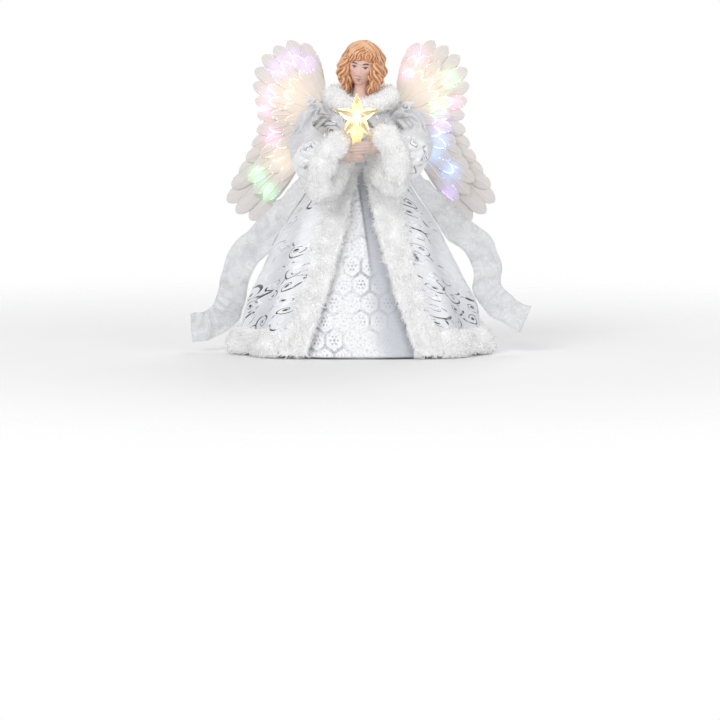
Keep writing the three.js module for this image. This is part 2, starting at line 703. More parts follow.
// Each bundle climbs the torso's bore, leaves by the window in its back and meets the wing's knuckle.
function fibreBundle(side) {
  const leave = vec(BUNDLE_X, PLATE_BACK - BUNDLE_RADIUS / 2, HINGE_HEIGHT - BUNDLE_RADIUS / 2);
  const turnX = BRACKET_HALF_WIDTH - 1.5 * BUNDLE_RADIUS;
  const turnY = PLATE_BACK + 2.5 * BUNDLE_RADIUS;
  const toKnuckle = vec(HINGE_X - turnX, HINGE_Y - turnY, 0).normalize();
  const end = vec(HINGE_X, HINGE_Y, HINGE_HEIGHT).addScaledVector(toKnuckle, -KNUCKLE_RADIUS - SEAT_GAP);
  const before = end.clone().addScaledVector(toKnuckle, -1.5 * BUNDLE_RADIUS);
  const route = [
    vec(BUNDLE_X, BUNDLE_Y, ENGINE_TOP + SEAT_GAP),
    vec(BUNDLE_X, BUNDLE_Y, WINDOW_LOW - 4 * BUNDLE_RADIUS),
    vec(BUNDLE_X, BUNDLE_Y + BUNDLE_RADIUS / 2, WINDOW_LOW + BUNDLE_RADIUS),
    vec(BUNDLE_X, TORSO_BORE + BUNDLE_RADIUS, WINDOW_MIDDLE),
    leave,
    before,
    end,
  ];
  return rod(spline(route.map((p) => vec(side * p.x, p.y, p.z))), 12, 7, BUNDLE_RADIUS);
}
add('left_fibre_bundle', fibreBundle(1), CLEAR_FIBRE);
add('right_fibre_bundle', fibreBundle(-1), CLEAR_FIBRE);

// Torso core: an oval plastic body with a bore for the fibres and leads

const TORSO_ROWS = [
  [TORSO_FOOT, DECK_HALF_WIDTH - TORSO_FOOT_INSET, DECK_HALF_DEPTH - TORSO_FOOT_INSET],
  [TORSO_FOOT + SHOULDER_RISE * 0.3, WAIST_HALF_WIDTH, WAIST_HALF_DEPTH],
  [TORSO_FOOT + SHOULDER_RISE * 0.75, CHEST_HALF_WIDTH, CHEST_HALF_DEPTH],
  [SHOULDER, SHOULDER_HALF_WIDTH, SHOULDER_HALF_DEPTH],
  [SHOULDER + SHOULDER_SLOPE * 0.5, SHOULDER_HALF_WIDTH - 2, SHOULDER_HALF_DEPTH - 1.5],
  [SHOULDER + SHOULDER_SLOPE * 0.85, SHOULDER_HALF_WIDTH - 8, SHOULDER_HALF_DEPTH - 4],
  [TORSO_TOP, NECK_RADIUS + 5, NECK_RADIUS + 3.5],
];

function torsoHalf(z) {
  const above = Math.max(1, TORSO_ROWS.findIndex((row) => row[0] >= z));
  const [z0, a0, b0] = TORSO_ROWS[above - 1];
  const [z1, a1, b1] = TORSO_ROWS[above];
  const share = (z - z0) / (z1 - z0);
  return [mix(a0, a1, share), mix(b0, b1, share)];
}

const torsoBody = (out) => loft(TORSO_ROWS.map(([z, a, b], i) => {
  const grow = i === 0 ? -out : i === TORSO_ROWS.length - 1 ? out : 0;
  return ovalRing(a + out, b + out, z + grow, TORSO_COLUMNS);
}));

const BORE_TOP = SHOULDER + BORE_RISE;
const PEG_HOLE_FOOT = TORSO_TOP - PEG_LENGTH - SEAT_GAP;

function backWindow(grow) {
  const low = vec(-WINDOW_HALF_WIDTH - grow, 0, WINDOW_LOW - grow);
  const high = vec(WINDOW_HALF_WIDTH + grow, HINGE_Y, WINDOW_LOW + WINDOW_HEIGHT + grow);
  return block(low, high);
}

add('torso_core', cut(torsoBody(0), [
  disc(TORSO_BORE, TORSO_FOOT - 1, BORE_TOP, 0, 0),
  disc(PEG_RADIUS + SEAT_GAP, PEG_HOLE_FOOT, TORSO_TOP + 1, 0, 0),
  crossBar(ARM_RADIUS + SEAT_GAP, -2 * SHOULDER_HALF_WIDTH, 2 * SHOULDER_HALF_WIDTH, 0, SHOULDER),
  backWindow(0),
]), WHITE_PLASTIC);

// Bodice: brocade close over the torso, cut away for the sleeves and for the wing bracket

const BRACKET_HALF_HEIGHT = KNUCKLE_LENGTH / 2 + RUNNING_GAP + LUG_THICKNESS;
const BODICE_TOP = SHOULDER + SHOULDER_SLOPE * 0.5;
const ARMHOLE = SLEEVE_START_RADIUS + ARMHOLE_EASE;

function bodice() {
  const heights = [DRESS_TOP + SEAT_GAP, ...TORSO_ROWS.slice(1, 4).map((row) => row[0]), BODICE_TOP];
  const rows = (out) => heights.map((z) => torsoHalf(z).map((half) => half + out).concat(z));
  const inner = rows(SEAT_GAP).reverse();
  const shell = ovalTurn([...rows(SEAT_GAP + BODICE_CLOTH), ...inner], TORSO_COLUMNS);
  const armholes = crossBar(ARMHOLE, -2 * SHOULDER_HALF_WIDTH, 2 * SHOULDER_HALF_WIDTH, 0, SHOULDER);
  const half = BRACKET_HALF_WIDTH + BRACKET_EASE;
  const footLow = vec(-half, 0, HINGE_HEIGHT - BRACKET_HALF_HEIGHT - BRACKET_EASE);
  const foot = block(footLow, vec(half, HINGE_Y, BODICE_TOP + BRACKET_EASE));
  return cut(shell, [armholes, foot]);
}
add('bodice', bodice(), BROCADE);

// Wing bracket: a yoke on the torso's back with two pairs of hinge lugs

function yoke(foot) {
  const outline = new THREE.Shape();
  outline.moveTo(-BRACKET_HALF_WIDTH, 0);
  outline.lineTo(BRACKET_HALF_WIDTH, 0);
  outline.lineTo(BRACKET_HALF_WIDTH, PLATE_BACK);
  outline.lineTo(HINGE_X + KNUCKLE_RADIUS, HINGE_Y);
  outline.absarc(HINGE_X, HINGE_Y, KNUCKLE_RADIUS, 0, Math.PI / 2, false);
  outline.lineTo(-HINGE_X, HINGE_Y + KNUCKLE_RADIUS);
  outline.absarc(-HINGE_X, HINGE_Y, KNUCKLE_RADIUS, Math.PI / 2, Math.PI, false);
  outline.lineTo(-BRACKET_HALF_WIDTH, PLATE_BACK);
  const settings = { depth: LUG_THICKNESS, bevelEnabled: false, curveSegments: 5 };
  return new THREE.ExtrudeGeometry(outline, settings).translate(0, 0, foot);
}

function wingBracket() {
  const low = HINGE_HEIGHT - BRACKET_HALF_HEIGHT;
  const high = HINGE_HEIGHT + BRACKET_HALF_HEIGHT;
  const plate = block(vec(-BRACKET_HALF_WIDTH, 0, low), vec(BRACKET_HALF_WIDTH, PLATE_BACK, high));
  const hole = HINGE_PIN_RADIUS + RUNNING_GAP;
  const pinHole = (side) => disc(hole, low - 1, high + 1, side * HINGE_X, HINGE_Y, 14);
  const pinHoles = [pinHole(-1), pinHole(1)];
  const yokes = [yoke(low), yoke(high - LUG_THICKNESS)];
  return cut(join([plate, ...yokes]), [torsoBody(SEAT_GAP), backWindow(0), ...pinHoles]);
}
add('wing_bracket', wingBracket(), WHITE_PLASTIC);

for (const [name, side] of [['left', 1], ['right', -1]]) {
  const reach = BRACKET_HALF_HEIGHT + PIN_PROUD;
  const pin = disc(HINGE_PIN_RADIUS, HINGE_HEIGHT - reach, HINGE_HEIGHT + reach, side * HINGE_X, HINGE_Y, 14);
  add(`${name}_hinge_pin`, pin, STEEL);
}

// Head: cast resin with neck, peg and curly shoulder-length hair

const HEAD_TOP = TORSO_TOP + HEAD_LENGTH;
const SKULL_CENTRE = HEAD_TOP - SKULL_HALF_HEIGHT - HAIR_RISE;

// A curl hangs from the crown beside the face and swings in and out on its way down.
function curl(turn, length, thickness) {
  const route = [];
  const steps = 6;
  for (let i = 0; i <= steps; i += 1) {
    const share = i / steps;
    const swing = Math.sin(share * 2.6 * Math.PI) * CURL_SWING;
    const out = HAIR_HALF_WIDTH * (0.26 + 0.52 * Math.sin(Math.PI * (0.15 + 0.8 * share))) + swing;
    const angle = turn + 0.12 * Math.cos(share * 2.4 * Math.PI);
    route.push(vec(out * Math.sin(angle), -out * Math.cos(angle) * 0.92, CURL_RISE - share * length));
  }
  const taper = (share) => thickness * (0.55 + 0.55 * Math.sin(Math.PI * (0.12 + 0.8 * share)));
  return rod(spline(route), 5, 5, taper);
}

function head() {
  const skull = egg(SKULL_HALF_WIDTH, SKULL_HALF_DEPTH, SKULL_HALF_HEIGHT, vec(0, -FACE_FORWARD, 0), 12, 8);
  const chinAt = vec(0, -FACE_FORWARD - CHIN_FORWARD, CHIN_RADIUS - SKULL_HALF_HEIGHT - CHIN_DROP);
  const chin = egg(CHIN_RADIUS, CHIN_RADIUS * 1.08, CHIN_RADIUS, chinAt, 8, 6);
  const noseAt = vec(0, NOSE_SINK - FACE_FORWARD - SKULL_HALF_DEPTH, -SKULL_HALF_HEIGHT * 0.12);
  const nose = egg(NOSE_HALF_WIDTH, NOSE_HALF_DEPTH, NOSE_HALF_HEIGHT, noseAt, 6, 5);
  const capAt = vec(0, FACE_FORWARD * 1.6, HAIR_RISE);
  const cap = egg(HAIR_HALF_WIDTH * 0.74, HAIR_HALF_WIDTH * 0.72, SKULL_HALF_HEIGHT, capAt, 10, 7);
  const napeHeight = SKULL_HALF_HEIGHT * 0.85;
  const napeAt = vec(0, HAIR_RISE, -SKULL_HALF_HEIGHT * 0.67);
  const nape = egg(HAIR_HALF_WIDTH * 0.72, HAIR_HALF_WIDTH * 0.5, napeHeight, napeAt, 8, 5);
  const curls = [0.66, 1.12, 1.62].flatMap((turn, i) => {
    const length = CURL_LENGTH - CURL_STEP * i;
    return [curl(turn, length, CURL_RADIUS), curl(-turn, length - CURL_STEP / 2, CURL_RADIUS)];
  });
  const fringe = [-1, 1].map((side) => {
    const middle = vec(side * FRINGE_HALF_WIDTH * 0.88, 2 - SKULL_HALF_DEPTH, FRINGE_RISE);
    return egg(FRINGE_HALF_WIDTH, FRINGE_HALF_HEIGHT, FRINGE_HALF_HEIGHT, middle, 8, 5);
  });
  const upper = cast([skull, chin, nose, cap, nape, ...fringe, ...curls]);
  upper.rotateX(radians(HEAD_TILT)).rotateY(radians(HEAD_TILT)).rotateZ(radians(-HEAD_TURN));
  upper.translate(0, -1, SKULL_CENTRE);
  const bustTop = SKULL_CENTRE - SKULL_HALF_HEIGHT + NECK_FLARE + CHIN_DROP;
  const neckFoot = TORSO_TOP + SEAT_GAP;
  const neck = turned([
    [0, TORSO_TOP - PEG_LENGTH],
    [PEG_RADIUS, TORSO_TOP - PEG_LENGTH],
    [PEG_RADIUS, neckFoot],
    [NECK_RADIUS + NECK_FLARE, neckFoot],
    [NECK_RADIUS + NECK_FLARE * 0.67, neckFoot + NECK_RISE / 3],
    [NECK_RADIUS, neckFoot + NECK_RISE],
    [NECK_RADIUS - NECK_FLARE * 0.2, bustTop],
    [0, bustTop],
  ], 18);
  return cast([upper, neck]);
}
add('head', head(), RESIN_HEAD);

// Fur ring round a closed path: centre, the two directions of its plane and the ring's own half sizes.
// Its front dips and thins by the last value.

function furRing(centre, across, upright, halfWidth, halfHeight, depth, width, steps, sides, wave, dip = 0) {
  const away = across.clone().cross(upright).normalize();
  const rings = [];
  for (let i = 0; i < steps; i += 1) {
    const turn = (2 * Math.PI * i) / steps;
    const swell = 1 + wave * Math.cos(5 * turn);
    const outward = across.clone().multiplyScalar(Math.cos(turn)).addScaledVector(upright, Math.sin(turn));
    const middle = centre.clone().addScaledVector(across, halfWidth * Math.cos(turn));
    middle.addScaledVector(upright, halfHeight * Math.sin(turn));
    const sag = dip * Math.max(0, -Math.sin(turn)) ** 2;
    middle.addScaledVector(away, -sag);
    const high = depth * swell - sag / 2;
    const ring = [];
    for (let j = 0; j < sides; j += 1) {
      const round = (2 * Math.PI * j) / sides;
      const p = middle.clone().addScaledVector(outward, width * swell * Math.cos(round));
      ring.push(p.addScaledVector(away, high * Math.sin(round)));
    }
    rings.push(ring);
  }
  return ringLoft(rings);
}

const COLLAR_MIDDLE = vec(0, 0, TORSO_TOP + COLLAR_HEIGHT / 2 - COLLAR_SINK);
add('fur_collar', furRing(
  COLLAR_MIDDLE, vec(1, 0, 0), vec(0, 1, 0),
  COLLAR_HALF_WIDTH, COLLAR_HALF_DEPTH, COLLAR_HEIGHT / 2, COLLAR_THICKNESS / 2, 24, 8, 0.03, COLLAR_DIP,
), WHITE_FUR);

// Cuffs: tall fur rings round the sleeve mouths, turned towards the hands, with their tops leaning in

function cuffFrame(side) {
  const name = side > 0 ? 'left' : 'right';
  const turn = radians(CUFF_TURN);
  const lean = -side * radians(CUFF_LEAN[name]);
  const leaned = (x, y, z) => vec(x, y, z).applyAxisAngle(vec(0, 1, 0), lean);
  return {
    centre: vec(side * CUFF_X[name], -CUFF_REACH, SHOULDER - CUFF_DROP[name]),
    toHand: leaned(-side * Math.cos(turn), -Math.sin(turn), 0),
    across: leaned(side * Math.sin(turn), -Math.cos(turn), 0),
    upright: leaned(0, 0, 1),
  };
}

function cuff(side) {
  const { centre, across, upright } = cuffFrame(side);
  const half = [CUFF_HALF_WIDTH, CUFF_HALF_HEIGHT];
  return furRing(centre, across, upright, ...half, CUFF_RADIUS, CUFF_RADIUS, 20, 8, CUFF_WAVE);
}

// Arms: hollow tubes from the shoulder to the wrist, one of which carries the star's lead

// The arm's bend below the shoulder: how far each station lies out, forward and down from the torso's side
const ARM_BEND = [[4, 0.8, 0.8], [11, 5, 5.5], [19, 15, 17]];

function armRoute(side, rise) {
  const { centre, toHand, upright } = cuffFrame(side);
  centre.addScaledVector(upright, rise);
  const bend = ARM_BEND.map(([out, forward, down]) => (
    vec(side * (SHOULDER_HALF_WIDTH + out), -forward, SHOULDER - down)
  ));
  return spline([
    vec(side * (TORSO_BORE + 1), 0, SHOULDER),
    vec(side * (SHOULDER_HALF_WIDTH - 3 * ARM_RADIUS), 0, SHOULDER),
    vec(side * (SHOULDER_HALF_WIDTH - ARM_RADIUS), 0, SHOULDER),
    ...bend,
    centre.clone().addScaledVector(toHand, -2 * WRIST_REACH),
    centre.clone().addScaledVector(toHand, WRIST_REACH),
  ]);
}

function armTube(route) {
  const outer = tubeRings(route, ARM_STEPS, ARM_SIDES, () => [ARM_RADIUS, ARM_RADIUS]);
  const inner = tubeRings(route, ARM_STEPS, ARM_SIDES, () => [ARM_RADIUS - ARM_WALL, ARM_RADIUS - ARM_WALL]);
  return ringLoft([...outer, ...inner.reverse()]);
}

// Sleeves: puffed tubes of cloth from the shoulder to the cuff, gathered at both ends

function sleeve(side) {
  const { centre, toHand } = cuffFrame(side);
  const mouth = centre.clone().addScaledVector(toHand, -CUFF_RADIUS * (1 + CUFF_WAVE) - SEAT_GAP);
  const start = SHOULDER_HALF_WIDTH - SLEEVE_SINK;
  const upperArm = SHOULDER - UPPER_ARM_DROP;
  const route = spline([
    vec(side * start, 0, SHOULDER),
    vec(side * (SHOULDER_HALF_WIDTH + SLEEVE_ROOT_OUT), 0, SHOULDER - SLEEVE_ROOT_DROP),
    vec(side * (SHOULDER_HALF_WIDTH + UPPER_ARM_OUT), -UPPER_ARM_FORWARD, upperArm),
    vec(side * (SHOULDER_HALF_WIDTH + ELBOW_OUT), -ELBOW_FORWARD, mix(upperArm, centre.z, ELBOW_SHARE)),
    mouth.clone().addScaledVector(toHand, -SLEEVE_MOUTH_LENGTH),
    mouth,
  ]);
  const radius = (share) => {
    const puff = smooth(share, 0, 0.3) * (1 - 0.25 * smooth(share, 0.72, 1));
    const across = mix(SLEEVE_START_RADIUS, SLEEVE_PUFF, puff);
    const hang = mix(SLEEVE_PUFF, SLEEVE_DROP, smooth(share, 0.4, 1));
    const upright = mix(SLEEVE_START_RADIUS, hang, smooth(share, 0, 0.3));
    return [across, upright];
  };
  const ripple = (share, turn) => (SLEEVE_RIPPLE / SLEEVE_PUFF) * Math.cos(SLEEVE_FOLDS * turn + 5 * share);
  const thin = (share) => radius(share).map((r) => r - SLEEVE_CLOTH);
  const outer = tubeRings(route, SLEEVE_STEPS, SLEEVE_SIDES, radius, ripple);
  const inner = tubeRings(route, SLEEVE_STEPS, SLEEVE_SIDES, thin, ripple);
  return cut(ringLoft([...outer, ...inner.reverse()]), [torsoBody(SEAT_GAP)]);
}

for (const [name, side] of [['left', 1], ['right', -1]]) {
  add(`${name}_arm`, armTube(armRoute(side, WRIST_RISE[name])), WHITE_PLASTIC);
  add(`${name}_sleeve`, sleeve(side), BROCADE);
  add(`${name}_cuff`, cuff(side), WHITE_FUR);
}

// Star lamp: an amber holder gripped by the hands, a flame-shaped lamp and a faceted clear star over it

add('lamp_holder', turned([
  [0, HOLDER_FOOT],
  [HOLDER_RADIUS, HOLDER_FOOT],
  [HOLDER_RADIUS, HOLDER_FOOT + HOLDER_GRIP_LENGTH],
  [HOLDER_FLARE, HOLDER_FOOT + HOLDER_GRIP_LENGTH + HOLDER_CONE],
  [HOLDER_FLARE, HOLDER_TOP - HOLDER_BEVEL],
  [HOLDER_FLARE - HOLDER_BEVEL, HOLDER_TOP],
  [0, HOLDER_TOP],
], 20, STAR_X, STAR_Y), AMBER);

const LAMP_FOOT = HOLDER_TOP + SEAT_GAP;
function flame(out) {
  return turned([
    [0, LAMP_FOOT - out],
    [LAMP_RADIUS * 0.75 + out, LAMP_FOOT - out],
    [LAMP_RADIUS + out, LAMP_FOOT + LAMP_LENGTH * 0.25],
    [LAMP_RADIUS * 0.85 + out, LAMP_FOOT + LAMP_LENGTH * 0.5],
    [LAMP_RADIUS * 0.4 + out, LAMP_FOOT + LAMP_LENGTH * 0.85],
    [0, LAMP_FOOT + LAMP_LENGTH + out],
  ], 14, STAR_X, STAR_Y);
}
add('star_lamp', flame(0), WARM_LAMP);

function star() {
  const points = 5;
  const rim = [];
  for (let i = 0; i < 2 * points; i += 1) {
    const turn = Math.PI / 2 + (Math.PI * i) / points;
    const reach = i % 2 ? STAR_NOTCH_RADIUS : STAR_RADIUS;
    rim.push(vec(STAR_X + reach * Math.cos(turn), STAR_Y, STAR_CENTRE + reach * Math.sin(turn)));
  }
  const shifted = (y) => rim.map((p) => vec(p.x, p.y + y, p.z));
  const apex = (y) => vec(STAR_X, STAR_Y + y, STAR_CENTRE);
  const all = [...shifted(-STAR_EDGE), ...shifted(STAR_EDGE)];
  all.push(apex(-STAR_HALF_THICKNESS), apex(STAR_HALF_THICKNESS));
  const count = rim.length;
  const triangles = cells(1, count, (i, j) => i * count + (j % count));
  for (let j = 0; j < count; j += 1) {
    const k = (j + 1) % count;
    triangles.push([2 * count, k, j], [2 * count + 1, count + j, count + k]);
  }
  const seat = disc(HOLDER_FLARE + SEAT_GAP, HOLDER_FOOT, HOLDER_TOP + SEAT_GAP, STAR_X, STAR_Y, 20);
  return cut(closedGeometry(all, triangles), [flame(SEAT_GAP), seat]);
}
add('star', star(), CLEAR_ACRYLIC);

// Star lead: up the torso's bore, through the right arm and out of the wrist into the holder

function leadRoute() {
  const arm = armRoute(-1, WRIST_RISE.right);
  const points = [
    vec(-LEAD_X, -LEAD_Y, ENGINE_TOP + SEAT_GAP),
    vec(-LEAD_X, -LEAD_Y, SHOULDER - LEAD_BEND),
    vec(-LEAD_X - 2 * LEAD_RADIUS, -LEAD_Y / 2, SHOULDER - 3 * LEAD_RADIUS),
  ];
  for (let i = 0; i <= ARM_STEPS; i += 1) {
    points.push(arm.getPointAt(i / ARM_STEPS));
  }
  points.push(vec(STAR_X - LEAD_SAG * 0.67, STAR_Y + LEAD_RADIUS, HOLDER_FOOT - LEAD_SAG));
  points.push(vec(STAR_X, STAR_Y, HOLDER_FOOT - LEAD_SAG * 0.67));
  points.push(vec(STAR_X, STAR_Y, HOLDER_FOOT - SEAT_GAP));
  return pathThrough(points);
}
function starLead(radius) {
  const route = leadRoute();
  return rod(route, route.steps, 8, radius);
}
add('star_lead', starLead(LEAD_RADIUS), WHITE_PLASTIC);

// Hands: each palm runs from the wrist to the holder, and its fingers curl round the holder's front

function hand(side, level, route) {
  const wrist = route.getPointAt(1);
  const before = route.getPointAt(0.93);
  const axis = vec(STAR_X, STAR_Y, level);
  const reach = HOLDER_RADIUS + SEAT_GAP + FINGER_RADIUS;
  const knuckles = vec(STAR_X + side * (reach + FINGER_RADIUS * 0.7), STAR_Y + FINGER_RADIUS, level);
  const middle = wrist.clone().lerp(knuckles, 0.55);
  middle.z = mix(wrist.z, level, 0.8);
  const palmRadius = (share) => mix(WRIST_RADIUS, PALM_RADIUS, Math.sin(Math.PI * Math.min(1, share * 0.9)));
  const palm = rod(spline([before, wrist, middle, knuckles]), 5, 7, palmRadius);
  const fingers = [-1.5, -0.5, 0.5, 1.5].map((row, i) => {
    const sweep = [1.2, 1.32, 1.34, 1.24][i] * Math.PI;
    const arc = [];
    for (let k = 0; k <= 4; k += 1) {
      const turn = -side * (-0.28 + (sweep * k) / 4);
      const from = side > 0 ? 0 : Math.PI;
      const out = vec(reach * Math.cos(from + turn), reach * Math.sin(from + turn), row * FINGER_PITCH);
      arc.push(axis.clone().add(out));
    }
    return rod(spline(arc), 5, 5, (share) => FINGER_RADIUS * (1 - 0.25 * share));
  });
  const thumbEnd = vec(STAR_X - side * FINGER_RADIUS, STAR_Y + reach, level + FINGER_PITCH);
  const thumbBend = vec(STAR_X + side * reach, STAR_Y + 3 * FINGER_RADIUS, level + FINGER_PITCH / 2);
  const thumb = rod(spline([middle, thumbBend, thumbEnd]), 3, 5, FINGER_RADIUS * 1.1);
  const holdFoot = HOLDER_FOOT - HOLDER_GRIP_LENGTH;
  const hold = disc(HOLDER_RADIUS + SEAT_GAP, holdFoot, HOLDER_TOP, STAR_X, STAR_Y, 20);
  const socket = rod(route, ARM_STEPS, ARM_SIDES, ARM_RADIUS + SEAT_GAP);
  const cutters = [hold, socket];
  if (side < 0) cutters.push(starLead(LEAD_RADIUS + SEAT_GAP));
  return cut(cast([palm, thumb, ...fingers]), cutters, CAST_SLIVER);
}

for (const [name, side] of [['left', 1], ['right', -1]]) {
  const route = armRoute(side, WRIST_RISE[name]);
  add(`${name}_hand`, hand(side, HOLDER_FOOT + GRIP_LEVEL[name], route), RESIN_SKIN);
}

// Dress: the inner skirt, gathered at the waist and falling in soft folds to the rim

function dressHalf(z) {
  if (z <= FORMER_HEIGHT) return formerHalf(z);
  const share = (z - FORMER_HEIGHT) / DRESS_RISE;
  const [a, b] = torsoHalf(DRESS_TOP);
  return [mix(DECK_HALF_WIDTH, a, share), mix(DECK_HALF_DEPTH, b, share)];
}

function dress() {
  const between = [0.23, 0.5, 0.75].map((share) => share * FORMER_HEIGHT);
  const heights = [DRESS_HEM, ...between, FORMER_HEIGHT, DRESS_TOP];
  const columns = 5 * DRESS_FOLDS;
  const rows = (out) => heights.map((z) => {
    const [a, b] = dressHalf(z);
    const depth = DRESS_FOLD * (1 - 0.85 * Math.min(1, z / FORMER_HEIGHT));
    const ring = [];
    for (let j = 0; j < columns; j += 1) {
      const turn = (2 * Math.PI * j) / columns;
      const grow = DRESS_GAP + out + depth * (0.5 - 0.5 * Math.cos(DRESS_FOLDS * turn));
      ring.push(vec((a + grow) * Math.sin(turn), -(b + grow) * Math.cos(turn), z));
    }
    return ring;
  });
  return ringLoft([...rows(DRESS_CLOTH), ...rows(0).reverse()]);
}
add('dress', dress(), LATTICE_CLOTH);

// Robe: an open-fronted coat whose folds deepen towards the hem

function robeHalf(z) {
  if (z <= ROBE_WAIST) {
    const share = (z - ROBE_HEM) / (ROBE_WAIST - ROBE_HEM);
    const a = mix(ROBE_HEM_HALF_WIDTH, ROBE_WAIST_HALF_WIDTH, share);
    return [a, mix(ROBE_HEM_HALF_DEPTH, ROBE_WAIST_HALF_DEPTH, share)];
  }
  const share = (z - ROBE_WAIST) / (ROBE_TOP - ROBE_WAIST);
  const [a, b] = torsoHalf(ROBE_TOP).map((half) => half + 2 * SEAT_GAP + BODICE_CLOTH + ROBE_CLOTH);
  return [mix(ROBE_WAIST_HALF_WIDTH, a, share), mix(ROBE_WAIST_HALF_DEPTH, b, share)];
}

function openingAngle(z) {
  return radians(mix(OPENING_HEM_ANGLE, OPENING_TOP_ANGLE, (z - ROBE_HEM) / (ROBE_TOP - ROBE_HEM)));
}

// A point over the robe: place runs from 0 at one front edge round the back to 1 at the other.
function overRobe(place, z, out) {
  const [a, b] = robeHalf(z);
  const edge = openingAngle(z);
  const turn = edge + (2 * Math.PI - 2 * edge) * place;
  const fold = ROBE_FOLD * Math.max(0.1, 1 - (z - ROBE_HEM) / (ROBE_WAIST - ROBE_HEM));
  const grow = out - fold * Math.cos(2 * Math.PI * ROBE_FOLDS * place);
  return vec((a + grow) * Math.sin(turn), -(b + grow) * Math.cos(turn), z);
}

const ROBE_COLUMNS = 5 * ROBE_FOLDS;
const ROBE_ROWS = [ROBE_HEM + HEM_TRIM_HEIGHT, ...[0.35, 0.55, 0.78].map((share) => share * ROBE_WAIST)];

function robe() {
  const heights = [ROBE_HEM, ...ROBE_ROWS, ROBE_WAIST, ROBE_TOP];
  const rows = (out) => heights.map((z) => {
    const row = [];
    for (let j = 0; j <= ROBE_COLUMNS; j += 1) row.push(overRobe(j / ROBE_COLUMNS, z, out));
    return row;
  });
  return sheet(rows(0), rows(-ROBE_CLOTH));
}
add('robe', robe(), BROCADE);

// Fur bands down both front edges and round the hem, full in the middle and thin at their sides

const FUR_CROWN = [0.4, 1, 1, 0.4];

// The robe's length round its hem for one unit of place, used to turn a width into a share of the way round.
function robeRound(z) {
  const [a, b] = robeHalf(z);
  return 2 * (Math.PI - openingAngle(z)) * Math.sqrt((a * a + b * b) / 2);
}

function frontTrim(side) {
  const heights = [ROBE_HEM - TRIM_HANG, ROBE_HEM + 2 * TRIM_HANG, ...ROBE_ROWS, ROBE_WAIST - TRIM_TOP_DROP];
  const grid = (thick) => heights.map((z, i) => FUR_CROWN.map((crown, j) => {
    const across = -TRIM_INSET + (TRIM_WIDTH * j) / (FUR_CROWN.length - 1);
    const front = across / robeRound(z);
    const slim = i === heights.length - 1 ? 0.6 : 1;
    return overRobe(side > 0 ? front : 1 - front, z, TRIM_GAP + thick * crown * slim * TRIM_THICKNESS);
  }));
  return sheet(grid(1), grid(0));
}
add('left_front_trim', frontTrim(1), WHITE_FUR);
add('right_front_trim', frontTrim(-1), WHITE_FUR);

function hemTrim() {
  const top = HEM_TRIM_FOOT + HEM_TRIM_HEIGHT;
  const start = (TRIM_WIDTH - TRIM_INSET + SEAT_GAP) / robeRound(top);
  const places = [start];
  for (let j = Math.ceil(start * ROBE_COLUMNS); j <= (1 - start) * ROBE_COLUMNS; j += 1) {
    places.push(j / ROBE_COLUMNS);
  }
  places.push(1 - start);
  const grid = (thick) => FUR_CROWN.map((crown, i) => {
    const z = HEM_TRIM_FOOT + (HEM_TRIM_HEIGHT * i) / (FUR_CROWN.length - 1);
    return places.map((place) => overRobe(place, z, TRIM_GAP + thick * crown * TRIM_THICKNESS));
  });
  return sheet(grid(1), grid(0));
}
add('hem_trim', hemTrim(), WHITE_FUR);

// Ribbons: wired sheer strips that leave the robe's sides, arch out and end in a lifted tongue.
// Each station has how far it stands out from the robe's side, its place to the back and its share of the
// start's height, then the direction across the strip.

const RIBBON_START = ROBE_WAIST - RIBBON_DROP;
const LEFT_RIBBON = [
  [[10.6, 14, 0.901], [0.35, 0.9, 0.2]],
  [[17.2, 11, 0.78], [0.6, 0.5, 0.5]],
  [[26.7, 5, 0.659], [0.85, 0.1, 0.5]],
  [[39.6, 3, 0.566], [0.9, 0, 0.3]],
  [[37.7, 3, 0.451], [1, 0, -0.15]],
  [[28.7, 6, 0.335], [0.95, 0.2, -0.1]],
  [[32, 5, 0.258], [0.75, 0, 0.66]],
  [[42.3, 1, 0.203], [0.5, 0, 0.86]],
  [[50.9, 0, 0.176], [0.45, 0, 0.89]],
];
const RIGHT_RIBBON = [
  [[10.7, 14, 0.89], [0.35, 0.9, 0.2]],
  [[17.3, 10, 0.747], [0.6, 0.5, 0.5]],
  [[23.9, 5, 0.615], [0.55, 0.1, 0.83]],
  [[33.8, 3, 0.522], [0.8, 0, 0.55]],
  [[32.9, 4, 0.407], [1, 0, 0.1]],
  [[26.4, 10, 0.286], [1, 0.1, 0]],
  [[26.3, 18, 0.192], [0.8, 0, 0.6]],
  [[36.6, 14, 0.137], [0.2, 0, 0.98]],
  [[51.6, 10, 0.126], [-0.1, 0, 0.99]],
];

function ribbon(side, stations) {
  const seatOut = ROBE_FOLD * 0.1 + SEAT_GAP + RIBBON_THICKNESS / 2;
  const all = [[[seatOut, RIBBON_BACK, 1], [0, 1, 0]], ...stations];
  const route = spline(all.map(([[out, back, share]]) => {
    const z = share * RIBBON_START;
    return vec(side * (robeHalf(z)[0] + out), back, z);
  }));
  const widths = spline(all.map(([, w]) => vec(side * w[0], w[1], w[2])));
  const faces = [[], []];
  for (let i = 0; i <= RIBBON_STEPS; i += 1) {
    const share = i / RIBBON_STEPS;
    const centre = route.getPoint(share);
    const along = route.getTangent(share);
    const across = widths.getPoint(share).normalize();
    const away = along.clone().cross(across).normalize();
    const edge = [-0.5, 0, 0.5].map((k) => centre.clone().addScaledVector(across, k * RIBBON_WIDTH));
    edge[1].addScaledVector(away, -side * RIBBON_BOW);
    faces[0].push(edge.map((p) => p.clone().addScaledVector(away, RIBBON_THICKNESS / 2)));
    faces[1].push(edge.map((p) => p.clone().addScaledVector(away, -RIBBON_THICKNESS / 2)));
  }
  return sheet(faces[0], faces[1]);
}
add('left_ribbon', ribbon(1, LEFT_RIBBON), SHEER);
